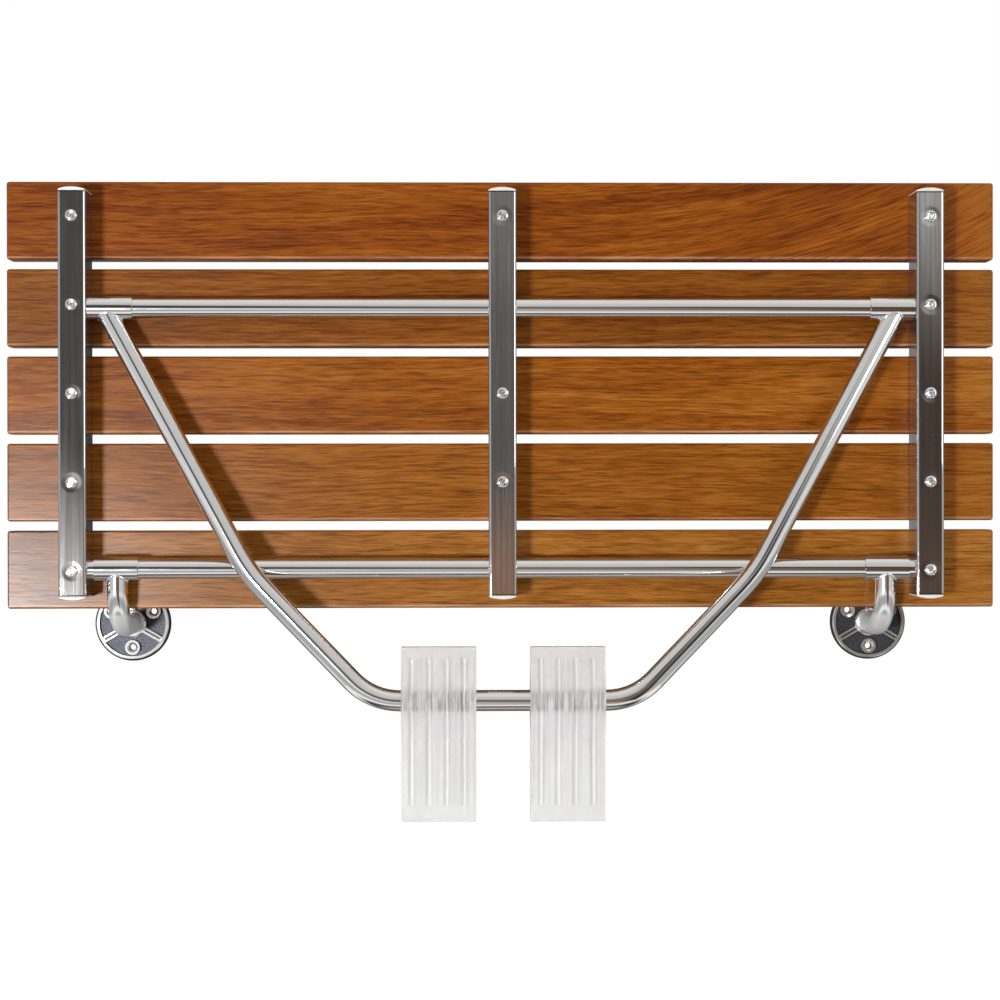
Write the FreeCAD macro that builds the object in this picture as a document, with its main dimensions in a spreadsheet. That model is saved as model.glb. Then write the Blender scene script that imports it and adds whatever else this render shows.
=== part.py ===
import FreeCAD, Part
import math
import os
import Sketcher

# The seat is modelled folded up, as it hangs on the wall.
# X runs along the slats, the wall is the plane Y = 0 with the room on the -Y side, and Z is up.
# The origin is on the wall, midway between the lowest screw holes of the two flanges.
# Lengths are in millimetres and angles in degrees.
DRIVING_SIZES = {
    # slats, numbered from the top, which is the front edge of the open seat
    "slat_length": 914.4,
    "slat_width": 72.0,
    "slat_thickness": 18.0,
    "slat_gap": 8.6,
    "slat_corner": 2.6,
    "slat_chamfer": 1.6,
    "slat_overhang": 37.6,
    # cross bars
    "bar_to_slat_end": 66.7,
    "bar_width": 25.4,
    "bar_depth": 30.0,
    "bar_wall": 1.5,
    "bar_corner": 2.5,
    "bar_inset": 9.7,
    # domed end caps
    "cap_edge": 1.0,
    "cap_crown": 2.6,
    "spigot_length": 9.0,
    "spigot_clearance": 0.35,
    # round tubes that the seat and the strut turn on
    "tube_diameter": 19.0,
    "tube_wall": 1.5,
    "tube_spacing": 238.0,
    "tube_setback": 17.0,
    "weld_clearance": 0.05,
    "running_clearance": 0.08,
    # sleeves
    "sleeve_wall": 1.5,
    "hinge_sleeve_length": 40.0,
    "hinge_sleeve_inset": 5.8,
    "strut_sleeve_length": 40.6,
    "strut_sleeve_play": 0.3,
    # wall arms
    "wall_offset": 72.0,
    "arm_below_slats": 7.9,
    "arm_diameter": 19.0,
    "arm_bend": 36.0,
    # wall flanges
    "flange_diameter": 72.0,
    "flange_edge": 2.6,
    "flange_bevel": 2.4,
    "flange_rim": 2.2,
    "flange_height": 6.0,
    "flange_floor": 3.4,
    "boss_diameter": 26.0,
    "boss_height": 8.5,
    "boss_lip": 1.2,
    "socket_floor": 2.0,
    "socket_clearance": 0.05,
    "hole_circle": 46.0,
    "hole_diameter": 6.0,
    "hole_ring_diameter": 14.0,
    "hole_ring_height": 6.6,
    "hole_countersink": 10.0,
    "flange_rib_width": 5.6,
    "flange_rib_slot": 1.8,
    "flange_rib_slot_depth": 0.9,
    "flange_rib_slot_land": 1.0,
    # strut
    "strut_diameter": 19.0,
    "strut_wall": 1.5,
    "strut_reach": 357.0,
    "strut_knee_inset": 127.2,
    "strut_knee_drop": 242.4,
    "strut_upper_bend": 150.0,
    "strut_lower_bend": 60.0,
    "strut_rest_gap": 0.3,
    # clear pads on the strut
    "pad_spacing": 48.5,
    "pad_end_play": 1.5,
    "pad_width": 67.5,
    "pad_above": 48.5,
    "pad_below": 108.5,
    "pad_half_thickness": 3.2,
    "pad_barrel": 12.6,
    "pad_taper_above": 34.0,
    "pad_taper_below": 34.0,
    "pad_rib_height": 1.2,
    "pad_rib_width": 3.0,
    "pad_rib_pitch": 15.7,
    "pad_rib_count": 4,
    "pad_band_above": 10.0,
    "pad_band_below": 15.0,
    # screws
    "screw_shank": 4.8,
    "screw_bite": 12.0,
    "screw_end_room": 1.0,
    "screw_head": 10.6,
    "screw_head_height": 3.0,
    "screw_hole_clearance": 0.3,
    "pilot_clearance": 0.05,
}

ALONG_X = FreeCAD.Vector(1, 0, 0)
ALONG_Y = FreeCAD.Vector(0, 1, 0)
ALONG_Z = FreeCAD.Vector(0, 0, 1)
TOUCHING = 1e-4
SIDES = {"left": -1, "right": 1}
ALL_ROWS = (1, 2, 3, 4, 5)
MIDDLE_ROW = 3
ROWS_CLEAR_OF_TUBES = (1, 3, 4)
FLANGE_SECTORS = 3

doc = FreeCAD.newDocument("fold_down_wall_seat")
sheet = doc.addObject("Spreadsheet::Sheet", "sizes")
for row, (name, number) in enumerate(DRIVING_SIZES.items(), start=1):
    sheet.set("A%d" % row, name)
    sheet.set("B%d" % row, str(number))
    sheet.setAlias("B%d" % row, name)
doc.recompute()

# Places that follow from the driving sizes
BAR_X = "(sizes.slat_length / 2 - sizes.bar_to_slat_end)"
BAR_SIDE_X = "(%s - sizes.bar_width / 2)" % BAR_X
ARM_DROP = "(sizes.slat_overhang + sizes.arm_below_slats + sizes.arm_diameter / 2)"
HINGE_Z = "(sizes.hole_circle / 2 + %s)" % ARM_DROP
STRUT_AXIS_Z = "(%s + sizes.tube_spacing)" % HINGE_Z
AXIS_Y = "(-sizes.wall_offset)"
SLAT_FACE_Y = "(sizes.tube_setback - sizes.wall_offset)"
BAR_CENTRE_Y = "(%s - sizes.bar_depth / 2)" % SLAT_FACE_Y
SLAT_PITCH = "(sizes.slat_width + sizes.slat_gap)"
SEAT_DEPTH = "(%d * %s + sizes.slat_width)" % (len(ALL_ROWS) - 1, SLAT_PITCH)
SEAT_CENTRE_Z = "(%s - sizes.slat_overhang + %s / 2)" % (HINGE_Z, SEAT_DEPTH)
CAP_HEIGHT = "(sizes.cap_edge + sizes.cap_crown)"
BAR_TUBE_LENGTH = "(%s - 2 * sizes.bar_inset - 2 * %s)" % (SEAT_DEPTH, CAP_HEIGHT)
STRUT_LEAN = (
    "asin((sizes.strut_diameter / 2 + sizes.tube_diameter / 2 + sizes.strut_rest_gap)"
    " / sizes.tube_spacing)"
)
SLEEVE_DIAMETER = "(sizes.tube_diameter + 2 * sizes.running_clearance + 2 * sizes.sleeve_wall)"
HINGE_SLEEVE_X = "(%s - sizes.hinge_sleeve_inset - sizes.hinge_sleeve_length / 2)" % BAR_SIDE_X
STRUT_SLEEVE_X = "(%s - sizes.strut_sleeve_play - sizes.strut_sleeve_length / 2)" % BAR_SIDE_X
STRUT_FOOT_HALF = "(sizes.pad_spacing / 2 + sizes.pad_width + sizes.pad_end_play)"
STRUT_KNEE_X = "(%s - sizes.strut_knee_inset)" % STRUT_SLEEVE_X


def value(expression):
    """The number that an expression of the driving sizes comes to."""
    return float(sheet.evalExpression(expression))


def row_offset(number):
    """Height of a slat's centre line above the centre of the seat, where slat 1 is the top one."""
    return "(%d * %s)" % (MIDDLE_ROW - number, SLAT_PITCH)


def new_body(label):
    body = doc.addObject("PartDesign::Body", label)
    body.Label = label
    return body


def place(body, x, y, z):
    for axis, expression in zip("xyz", (x, y, z)):
        body.setExpression("Placement.Base." + axis, expression)


def tilt(body, axis, angle):
    body.Placement = FreeCAD.Placement(FreeCAD.Vector(), FreeCAD.Rotation(axis, value(angle)))
    body.setExpression("Placement.Rotation.Angle", angle)


def origin_feature(body, role):
    return next(feature for feature in body.Origin.OriginFeatures if feature.Role == role)


def sketch_on(body, name, role, offset="0", up="0"):
    """A sketch on an origin plane, moved along the plane's normal and up in the plane."""
    sketch = body.newObject("Sketcher::SketchObject", name)
    sketch.AttachmentSupport = [(origin_feature(body, role), "")]
    sketch.MapMode = "FlatFace"
    sketch.setExpression("AttachmentOffset.Base.z", offset)
    sketch.setExpression("AttachmentOffset.Base.y", up)
    return sketch


def drive(sketch, kind, references, expression):
    """Add a dimension that follows the driving sizes."""
    constraint = Sketcher.Constraint(kind, *references, value(expression))
    index = sketch.addConstraint(constraint)
    sketch.setExpression("Constraints[%d]" % index, expression)


def hold(sketch, edge, end, x, y):
    """Fix a point of an edge by its two distances from the sketch's origin."""
    drive(sketch, "DistanceX", (-1, 1, edge, end), x)
    drive(sketch, "DistanceY", (-1, 1, edge, end), y)


def circle(sketch, x, y, diameter):
    centre = FreeCAD.Vector(value(x), value(y), 0)
    normal = FreeCAD.Vector(0, 0, 1)
    edge = sketch.addGeometry(Part.Circle(centre, normal, value(diameter) / 2))
    hold(sketch, edge, 3, x, y)
    drive(sketch, "Diameter", (edge,), diameter)


def polygon(sketch, corners):
    """Straight edges round the corners, which are pairs of expressions."""
    points = [FreeCAD.Vector(value(x), value(y), 0) for x, y in corners]
    first = sketch.GeometryCount
    for start, end in zip(points, points[1:] + points[:1]):
        sketch.addGeometry(Part.LineSegment(start, end))
    for number, (x, y) in enumerate(corners):
        following = first + (number + 1) % len(corners)
        sketch.addConstraint(Sketcher.Constraint("Coincident", first + number, 2, following, 1))
        hold(sketch, first + number, 1, x, y)


def rectangle(sketch, width, height, x="0", y="0"):
    left = "%s - (%s) / 2" % (x, width)
    right = "%s + (%s) / 2" % (x, width)
    low = "%s - (%s) / 2" % (y, height)
    high = "%s + (%s) / 2" % (y, height)
    polygon(sketch, [(left, low), (right, low), (right, high), (left, high)])


def feature(body, kind, name, profile, **properties):
    """A sketched feature of a body, which becomes the body's tip."""
    made = body.newObject("PartDesign::" + kind, name)
    made.Profile = profile
    for key, setting in properties.items():
        setattr(made, key, setting)
    body.Tip = made
    return made


def pad(body, name, profile, length, **properties):
    made = feature(body, "Pad", name, profile, **properties)
    made.setExpression("Length", length)
    return made


def pocket(body, name, profile, depth, **properties):
    """A cut that has to take something away from the solid before it."""
    doc.recompute()
    before = body.Shape.Volume
    made = feature(body, "Pocket", name, profile, **properties)
    made.setExpression("Length", depth)
    doc.recompute()
    assert body.Shape.Volume < before, body.Label + ": " + name + " cuts nothing"
    return made


def groove(body, name, profile, axis):
    doc.recompute()
    before = body.Shape.Volume
    made = feature(body, "Groove", name, profile, ReferenceAxis=(profile, [axis]), Angle=360.0)
    doc.recompute()
    assert body.Shape.Volume < before, body.Label + ": " + name + " cuts nothing"
    return made


def polar_pattern(body, name, original, count):
    made = body.newObject("PartDesign::PolarPattern", name)
    made.Originals = [original]
    made.Axis = (origin_feature(body, "Y_Axis"), [""])
    made.Angle = 360.0
    made.Occurrences = count
    body.Tip = made
    return made


def edge_treatment(body, kind, name, chosen):
    """A fillet or chamfer of the edges of the body's tip for which chosen(edge) is true."""
    doc.recompute()
    base = body.Tip
    names = []
    for number, edge in enumerate(base.Shape.Edges, start=1):
        if chosen(edge):
            names.append("Edge%d" % number)
    assert names, body.Label + ": no edge to treat"
    made = body.newObject("PartDesign::" + kind, name)
    made.Base = (base, names)
    body.Tip = made
    return made


def fillet(body, name, radius, chosen):
    edge_treatment(body, "Fillet", name, chosen).setExpression("Radius", radius)


def chamfer(body, name, size, chosen):
    edge_treatment(body, "Chamfer", name, chosen).setExpression("Size", size)


def is_straight_along(edge, direction):
    if edge.Curve.TypeId != "Part::GeomLine":
        return False
    return abs(abs(edge.Curve.Direction.dot(direction)) - 1) < TOUCHING


def is_upright_at(edge, distance):
    """Whether an edge runs along Z at the given distance to either side of its body's middle."""
    at_side = abs(abs(edge.BoundBox.Center.x) - distance) < TOUCHING
    return at_side and is_straight_along(edge, ALONG_Z)


def lies_at_depth(edge, distance):
    """Whether a whole edge is the given distance in front of its body's middle, or behind it."""
    box = edge.BoundBox
    return abs(abs(box.YMin) - distance) < TOUCHING and box.YLength < TOUCHING


def slat(number, bar_offsets):
    """A plank with eased edges and a blind pilot hole for each screw that reaches it."""
    body = new_body("slat_%d" % number)
    outline = sketch_on(body, "outline", "XZ_Plane")
    rectangle(outline, "sizes.slat_length", "sizes.slat_width")
    pad(body, "plank", outline, "sizes.slat_thickness", SideType="Symmetric")
    fillet(body, "corners", "sizes.slat_corner", lambda edge: is_straight_along(edge, ALONG_Y))
    face = value("sizes.slat_thickness / 2")
    chamfer(body, "eased_edges", "sizes.slat_chamfer", lambda edge: lies_at_depth(edge, face))
    holes = sketch_on(body, "pilot_holes", "XZ_Plane", "sizes.slat_thickness / 2")
    for offset in bar_offsets:
        circle(holes, offset, "0", "sizes.screw_shank + 2 * sizes.pilot_clearance")
    pocket(body, "pilot_bores", holes, "sizes.screw_bite + sizes.screw_end_room")
    centre_y = "%s + sizes.slat_thickness / 2" % SLAT_FACE_Y
    place(body, "0", centre_y, "%s + %s" % (SEAT_CENTRE_Z, row_offset(number)))
    return body


def cross_bar(name, x, rows, tube_passes):
    """A rectangular tube bored through for its screws, and across if the round tubes pass it."""
    body = new_body("cross_bar_" + name)
    section = sketch_on(body, "section", "XY_Plane")
    rectangle(section, "sizes.bar_width", "sizes.bar_depth")
    inner_width = "(sizes.bar_width - 2 * sizes.bar_wall)"
    inner_depth = "(sizes.bar_depth - 2 * sizes.bar_wall)"
    rectangle(section, inner_width, inner_depth)
    pad(body, "tube", section, BAR_TUBE_LENGTH, SideType="Symmetric")
    outer_x = value("sizes.bar_width / 2")
    inner_x = value(inner_width) / 2
    fillet(body, "outer_corners", "sizes.bar_corner", lambda edge: is_upright_at(edge, outer_x))
    inner_corner = "sizes.bar_corner - sizes.bar_wall"
    fillet(body, "inner_corners", inner_corner, lambda edge: is_upright_at(edge, inner_x))
    screw_holes = sketch_on(body, "screw_holes", "XZ_Plane")
    for row in rows:
        circle(screw_holes, "0", row_offset(row), "sizes.screw_shank + 2 * sizes.screw_hole_clearance")
    pocket(body, "screw_bores", screw_holes, "2 * sizes.bar_depth", SideType="Symmetric")
    if tube_passes:
        holes = sketch_on(body, "tube_holes", "YZ_Plane")
        for axis_z in (HINGE_Z, STRUT_AXIS_Z):
            up = "%s - %s" % (axis_z, SEAT_CENTRE_Z)
            across = "%s - %s" % (AXIS_Y, BAR_CENTRE_Y)
            circle(holes, across, up, "sizes.tube_diameter + 2 * sizes.weld_clearance")
        pocket(body, "tube_bores", holes, "2 * sizes.bar_width", SideType="Symmetric")
    place(body, x, BAR_CENTRE_Y, SEAT_CENTRE_Z)
    return body


def arched_outline(sketch, half, closing_height):
    """The crown's arch over a half width, closed by straight edges at the given height."""
    corners = [
        (half, "sizes.cap_edge"),
        ("-" + half, "sizes.cap_edge"),
        ("-" + half, closing_height),
        (half, closing_height),
    ]
    points = [FreeCAD.Vector(value(x), value(y), 0) for x, y in corners]
    summit = FreeCAD.Vector(0, value(CAP_HEIGHT), 0)
    arch = sketch.addGeometry(Part.Arc(points[0], summit, points[1]))
    for start, end in zip(points[1:], points[2:] + points[:1]):
        sketch.addGeometry(Part.LineSegment(start, end))
    for edge, (corner_x, corner_y) in enumerate(corners):
        following = (edge + 1) % len(corners)
        sketch.addConstraint(Sketcher.Constraint("Coincident", edge, 2, following, 1))
        hold(sketch, edge, 1, corner_x, corner_y)
    radius = "((%s)^2 + sizes.cap_crown^2) / (2 * sizes.cap_crown)" % half
    drive(sketch, "Radius", (arch,), radius)


def end_cap(name, x, end, up):
    """A plug with a crown arched both ways; up is 1 at the top and -1 below."""
    body = new_body("bar_cap_%s_%s" % (name, end))
    crown = sketch_on(body, "crown", "XZ_Plane")
    arched_outline(crown, "sizes.bar_width / 2", "0")
    pad(body, "dome", crown, "sizes.bar_depth", SideType="Symmetric")
    fillet(body, "corners", "sizes.bar_corner", lambda edge: is_straight_along(edge, ALONG_Z))
    above_crown = sketch_on(body, "above_crown", "YZ_Plane")
    arched_outline(above_crown, "sizes.bar_depth / 2", "2 * " + CAP_HEIGHT)
    pocket(body, "front_to_back_arch", above_crown, "2 * sizes.bar_width", SideType="Symmetric")
    plug = sketch_on(body, "plug", "XY_Plane")
    slack = "2 * (sizes.bar_wall + sizes.spigot_clearance)"
    rectangle(plug, "sizes.bar_width - " + slack, "sizes.bar_depth - " + slack)
    pad(body, "spigot", plug, "sizes.spigot_length", Reversed=True)
    if up < 0:
        body.Placement = FreeCAD.Placement(FreeCAD.Vector(), FreeCAD.Rotation(ALONG_Y, 180))
    height = "%s + %d * %s / 2" % (SEAT_CENTRE_Z, up, BAR_TUBE_LENGTH)
    place(body, x, BAR_CENTRE_Y, height)
    return body


def round_tube(name, axis_z):
    """A tube whose ends butt against the inner sides of the end bars."""
    body = new_body(name)
    section = sketch_on(body, "section", "YZ_Plane")
    circle(section, "0", "0", "sizes.tube_diameter")
    circle(section, "0", "0", "sizes.tube_diameter - 2 * sizes.tube_wall")
    pad(body, "tube", section, "2 * " + BAR_SIDE_X, SideType="Symmetric")
    place(body, "0", AXIS_Y, axis_z)
    return body


def sleeve(name, x, axis_z, length):
    """A short tube that turns on a round tube."""
    body = new_body(name)
    section = sketch_on(body, "section", "YZ_Plane")
    circle(section, "0", "0", SLEEVE_DIAMETER)
    circle(section, "0", "0", "sizes.tube_diameter + 2 * sizes.running_clearance")
    pad(body, "barrel", section, length, SideType="Symmetric")
    place(body, x, AXIS_Y, axis_z)
    return body


def pipe(body, name, section, path):
    made = body.newObject("PartDesign::AdditivePipe", name)
    made.Profile = section
    runs = [edge for edge in path.Geometry if edge.TypeId != "Part::GeomPoint"]
    made.Spine = (path, ["Edge%d" % number for number in range(1, len(runs) + 1)])
    body.Tip = made
    return made


def cope(body, width):
    """Trim the end of a tube to the outside of the sleeve that it is welded to."""
    mouth = sketch_on(body, "mouth", "YZ_Plane")
    circle(mouth, "0", "0", "%s + 2 * sizes.weld_clearance" % SLEEVE_DIAMETER)
    pocket(body, "cope", mouth, width, SideType="Symmetric")


def rounded_path(sketch, corners, radii):
    """Straight runs between corners given as points, with a tangent arc in place of each bend."""
    start = corners[0]
    arc_out = None
    for before, corner, after, radius in zip(corners, corners[1:], corners[2:], radii):
        incoming = (corner - before).normalize()
        outgoing = (after - corner).normalize()
        half_turn = incoming.getAngle(outgoing) / 2
        setback = radius * math.tan(half_turn)
        ends = [corner - incoming * setback, corner + outgoing * setback]
        inward = (outgoing - incoming).normalize()
        middle = corner + inward * (radius / math.cos(half_turn) - radius)
        run = sketch.addGeometry(Part.LineSegment(start, ends[0]))
        if arc_out is not None:
            sketch.addConstraint(Sketcher.Constraint("Tangent", run - 1, arc_out, run, 1))
        start = ends[1]
        # a sketch keeps its arcs anticlockwise, so a right-hand bend is entered by its far end
        if incoming.cross(outgoing).z > 0:
            arc_in, arc_out = 1, 2
        else:
            arc_in, arc_out = 2, 1
            ends.reverse()
        arc = sketch.addGeometry(Part.Arc(ends[0], middle, ends[1]))
        sketch.addConstraint(Sketcher.Constraint("Tangent", run, 2, arc, arc_in))
    last = sketch.addGeometry(Part.LineSegment(start, corners[-1]))
    sketch.addConstraint(Sketcher.Constraint("Tangent", last - 1, arc_out, last, 1))


def wall_arm(side):
    """A round bar from under the hinge sleeve, down and round into the flange's socket."""
    body = new_body("wall_arm_" + side)
    path = sketch_on(body, "path", "YZ_Plane")
    drop = -value(ARM_DROP)
    reach = "(sizes.wall_offset - sizes.socket_floor)"
    corners = [
        FreeCAD.Vector(0, 0, 0),
        FreeCAD.Vector(0, drop, 0),
        FreeCAD.Vector(value(reach), drop, 0),
    ]
    rounded_path(path, corners, [value("sizes.arm_bend")])
    hold(path, 0, 1, "0", "0")
    hold(path, 2, 2, reach, "-" + ARM_DROP)
    path.addConstraint(Sketcher.Constraint("Vertical", 0))
    path.addConstraint(Sketcher.Constraint("Horizontal", 2))
    drive(path, "Radius", (1,), "sizes.arm_bend")
    section = sketch_on(body, "section", "XY_Plane")
    circle(section, "0", "0", "sizes.arm_diameter")
    pipe(body, "bent_bar", section, path)
    cope(body, "2 * sizes.arm_diameter")
    place(body, "%d * %s" % (SIDES[side], HINGE_SLEEVE_X), AXIS_Y, HINGE_Z)
    return body


def wall_flange(side):
    """A cast disc with a bevelled rim, a socket boss, three ribs and three ringed screw holes."""
    body = new_body("wall_flange_" + side)
    profile = sketch_on(body, "profile", "XY_Plane")
    outer = "sizes.flange_diameter / 2"
    rim_outer = "(%s - sizes.flange_bevel)" % outer
    rim_inner = "(%s - sizes.flange_rim)" % rim_outer
    socket = "(sizes.arm_diameter / 2 + sizes.socket_clearance)"
    boss = "sizes.boss_diameter / 2"
    corners = [
        ("0", "0"),
        (outer, "0"),
        (outer, "-sizes.flange_edge"),
        (rim_outer, "-sizes.flange_height"),
        (rim_inner, "-sizes.flange_height"),
        (rim_inner, "-sizes.flange_floor"),
        (boss, "-sizes.flange_floor"),
        (boss, "-sizes.boss_height + sizes.boss_lip"),
        ("%s - sizes.boss_lip" % boss, "-sizes.boss_height"),
        (socket, "-sizes.boss_height"),
        (socket, "-sizes.socket_floor"),
        ("0", "-sizes.socket_floor"),
    ]
    polygon(profile, corners)
    disc = feature(body, "Revolution", "disc", profile, Angle=360.0)
    disc.ReferenceAxis = (profile, ["V_Axis"])

    rib_outline = sketch_on(body, "rib_outline", "XZ_Plane", "sizes.socket_floor")
    rib_length = "(%s - %s + sizes.boss_lip)" % (rim_inner, boss)
    rib_middle = "((%s + %s) / 2)" % (rim_inner, boss)
    rectangle(rib_outline, "sizes.flange_rib_width", rib_length, y=rib_middle)
    rib_height = "sizes.flange_height - sizes.socket_floor"
    rib = pad(body, "rib", rib_outline, rib_height)
    polar_pattern(body, "ribs", rib, FLANGE_SECTORS)

    slot_outline = sketch_on(body, "slot_outline", "XZ_Plane", "sizes.flange_height")
    slot_length = "(%s - %s - 2 * sizes.flange_rib_slot_land)" % (rim_inner, boss)
    rectangle(slot_outline, "sizes.flange_rib_slot", slot_length, y=rib_middle)
    slot = pocket(body, "slot", slot_outline, "sizes.flange_rib_slot_depth")
    polar_pattern(body, "slots", slot, FLANGE_SECTORS)

    low_hole = "(-sizes.hole_circle / 2)"
    ring_outline = sketch_on(body, "ring_outline", "XZ_Plane", "sizes.socket_floor")
    circle(ring_outline, "0", low_hole, "sizes.hole_ring_diameter")
    ring_height = "sizes.hole_ring_height - sizes.socket_floor"
    ring = pad(body, "ring", ring_outline, ring_height)
    polar_pattern(body, "rings", ring, FLANGE_SECTORS)

    hole_profile = sketch_on(body, "hole_profile", "YZ_Plane", up=low_hole)
    face = "(-sizes.hole_ring_height)"
    sink_depth = "((sizes.hole_countersink - sizes.hole_diameter) / 2)"
    hole_corners = [
        (face, "0"),
        (face, "sizes.hole_countersink / 2"),
        ("%s + %s" % (face, sink_depth), "sizes.hole_diameter / 2"),
        ("0", "sizes.hole_diameter / 2"),
        ("0", "0"),
    ]
    polygon(hole_profile, hole_corners)
    hole = groove(body, "hole", hole_profile, "H_Axis")
    polar_pattern(body, "holes", hole, FLANGE_SECTORS)
    place(body, "%d * %s" % (SIDES[side], HINGE_SLEEVE_X), "0", "sizes.hole_circle / 2")
    return body


def strut_corner_points():
    """Corners of half of the strut's centre line, from the middle of its foot up to the sleeve."""
    reach = value("sizes.strut_reach")
    bend = value("sizes.strut_lower_bend")
    straight = value(STRUT_FOOT_HALF)
    knee = FreeCAD.Vector(-value(STRUT_KNEE_X), -value("sizes.strut_knee_drop"), 0)
    weld = FreeCAD.Vector(-value(STRUT_SLEEVE_X), -value(SLEEVE_DIAMETER) / 2, 0)
    # the run from the foot to the knee is tangent to the foot's bend
    from_centre = knee - FreeCAD.Vector(-straight, bend - reach, 0)
    to_knee = math.atan2(-from_centre.x, -from_centre.y)
    turn = to_knee - math.acos(bend / from_centre.Length)
    foot = straight + bend * math.tan(turn / 2)
    top = knee + (weld - knee) * (knee.y / (knee.y - weld.y))
    return [FreeCAD.Vector(0, -reach, 0), FreeCAD.Vector(-foot, -reach, 0), knee, top]


def guide_point(sketch, x, y, edges):
    """A construction point at a place given by two expressions, through which the edges run."""
    point = sketch.addGeometry(Part.Point(FreeCAD.Vector(value(x), value(y), 0)), True)
    hold(sketch, point, 1, x, y)
    for edge in edges:
        sketch.addConstraint(Sketcher.Constraint("PointOnObject", point, 1, edge))


def strut():
    """One tube bent into a wide U, whose two ends are coped to the strut sleeves."""
    body = new_body("strut_tube")
    path = sketch_on(body, "path", "XZ_Plane")
    radii = [value("sizes.strut_lower_bend"), value("sizes.strut_upper_bend")]
    rounded_path(path, strut_corner_points(), radii)
    foot_run, lower_run, upper_run = 0, 2, 4
    hold(path, foot_run, 1, "0", "-sizes.strut_reach")
    path.addConstraint(Sketcher.Constraint("Horizontal", foot_run))
    drive(path, "DistanceX", (-1, 1, foot_run, 2), "-" + STRUT_FOOT_HALF)
    drive(path, "Radius", (1,), "sizes.strut_lower_bend")
    drive(path, "Radius", (3,), "sizes.strut_upper_bend")
    path.addConstraint(Sketcher.Constraint("PointOnObject", upper_run, 2, -1))
    guide_point(path, "-" + STRUT_KNEE_X, "-sizes.strut_knee_drop", (lower_run, upper_run))
    guide_point(path, "-" + STRUT_SLEEVE_X, "-%s / 2" % SLEEVE_DIAMETER, (upper_run,))
    section = sketch_on(body, "section", "YZ_Plane")
    circle(section, "0", "-sizes.strut_reach", "sizes.strut_diameter")
    circle(section, "0", "-sizes.strut_reach", "sizes.strut_diameter - 2 * sizes.strut_wall")
    half = pipe(body, "half_strut", section, path)
    mirror = body.newObject("PartDesign::Mirrored", "whole_strut")
    mirror.Originals = [half]
    mirror.MirrorPlane = (origin_feature(body, "YZ_Plane"), [""])
    body.Tip = mirror
    cope(body, "4 * " + STRUT_SLEEVE_X)
    tilt(body, ALONG_X, "-" + STRUT_LEAN)
    place(body, "0", AXIS_Y, STRUT_AXIS_Z)
    return body


def pad_outline(sketch, half_thickness, barrel_radius, top, bottom):
    """Side view of a wall pad: a flat plate that swells to a barrel round the strut."""
    half = value(half_thickness)
    barrel = value(barrel_radius)
    upper = value("sizes.pad_taper_above")
    lower = value("-sizes.pad_taper_below")
    high = value(top)
    low = value(bottom)
    centre = FreeCAD.Vector(0, 0, 0)
    for side in (1, -1):
        upper_reach = math.hypot(half, upper)
        upper_angle = math.atan2(upper, half) - math.acos(barrel / upper_reach)
        lower_reach = math.hypot(half, lower)
        lower_angle = math.atan2(lower, half) + math.acos(barrel / lower_reach)
        touch_up = FreeCAD.Vector(barrel * math.cos(upper_angle), barrel * math.sin(upper_angle), 0)
        touch_low = FreeCAD.Vector(barrel * math.cos(lower_angle), barrel * math.sin(lower_angle), 0)
        points = [
            FreeCAD.Vector(half, high, 0),
            FreeCAD.Vector(half, upper, 0),
            touch_up,
            touch_low,
            FreeCAD.Vector(half, lower, 0),
            FreeCAD.Vector(half, low, 0),
        ]
        for point in points:
            point.x *= side
        first = sketch.GeometryCount
        sketch.addGeometry(Part.LineSegment(points[0], points[1]))
        sketch.addGeometry(Part.LineSegment(points[1], points[2]))
        belly = FreeCAD.Vector(side * barrel, 0, 0)
        sketch.addGeometry(Part.Arc(points[2], belly, points[3]))
        sketch.addGeometry(Part.LineSegment(points[3], points[4]))
        sketch.addGeometry(Part.LineSegment(points[4], points[5]))
        into, out = (2, 1) if side > 0 else (1, 2)
        sketch.addConstraint(Sketcher.Constraint("Coincident", first, 2, first + 1, 1))
        sketch.addConstraint(Sketcher.Constraint("Tangent", first + 1, 2, first + 2, into))
        sketch.addConstraint(Sketcher.Constraint("Tangent", first + 2, out, first + 3, 1))
        sketch.addConstraint(Sketcher.Constraint("Coincident", first + 3, 2, first + 4, 1))
        signed_half = "%d * (%s)" % (side, half_thickness)
        hold(sketch, first, 1, signed_half, top)
        hold(sketch, first, 2, signed_half, "sizes.pad_taper_above")
        hold(sketch, first + 4, 1, signed_half, "-sizes.pad_taper_below")
        hold(sketch, first + 4, 2, signed_half, bottom)
        sketch.addConstraint(Sketcher.Constraint("Coincident", first + 2, 3, -1, 1))
        drive(sketch, "Radius", (first + 2,), barrel_radius)
    for corner_end, height in ((1, high), (2, low)):
        across = Part.LineSegment(FreeCAD.Vector(half, height, 0), FreeCAD.Vector(-half, height, 0))
        edge = sketch.addGeometry(across)
        right_edge, left_edge = (0, 5) if corner_end == 1 else (4, 9)
        sketch.addConstraint(Sketcher.Constraint("Coincident", edge, 1, right_edge, corner_end))
        sketch.addConstraint(Sketcher.Constraint("Coincident", edge, 2, left_edge, corner_end))


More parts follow.
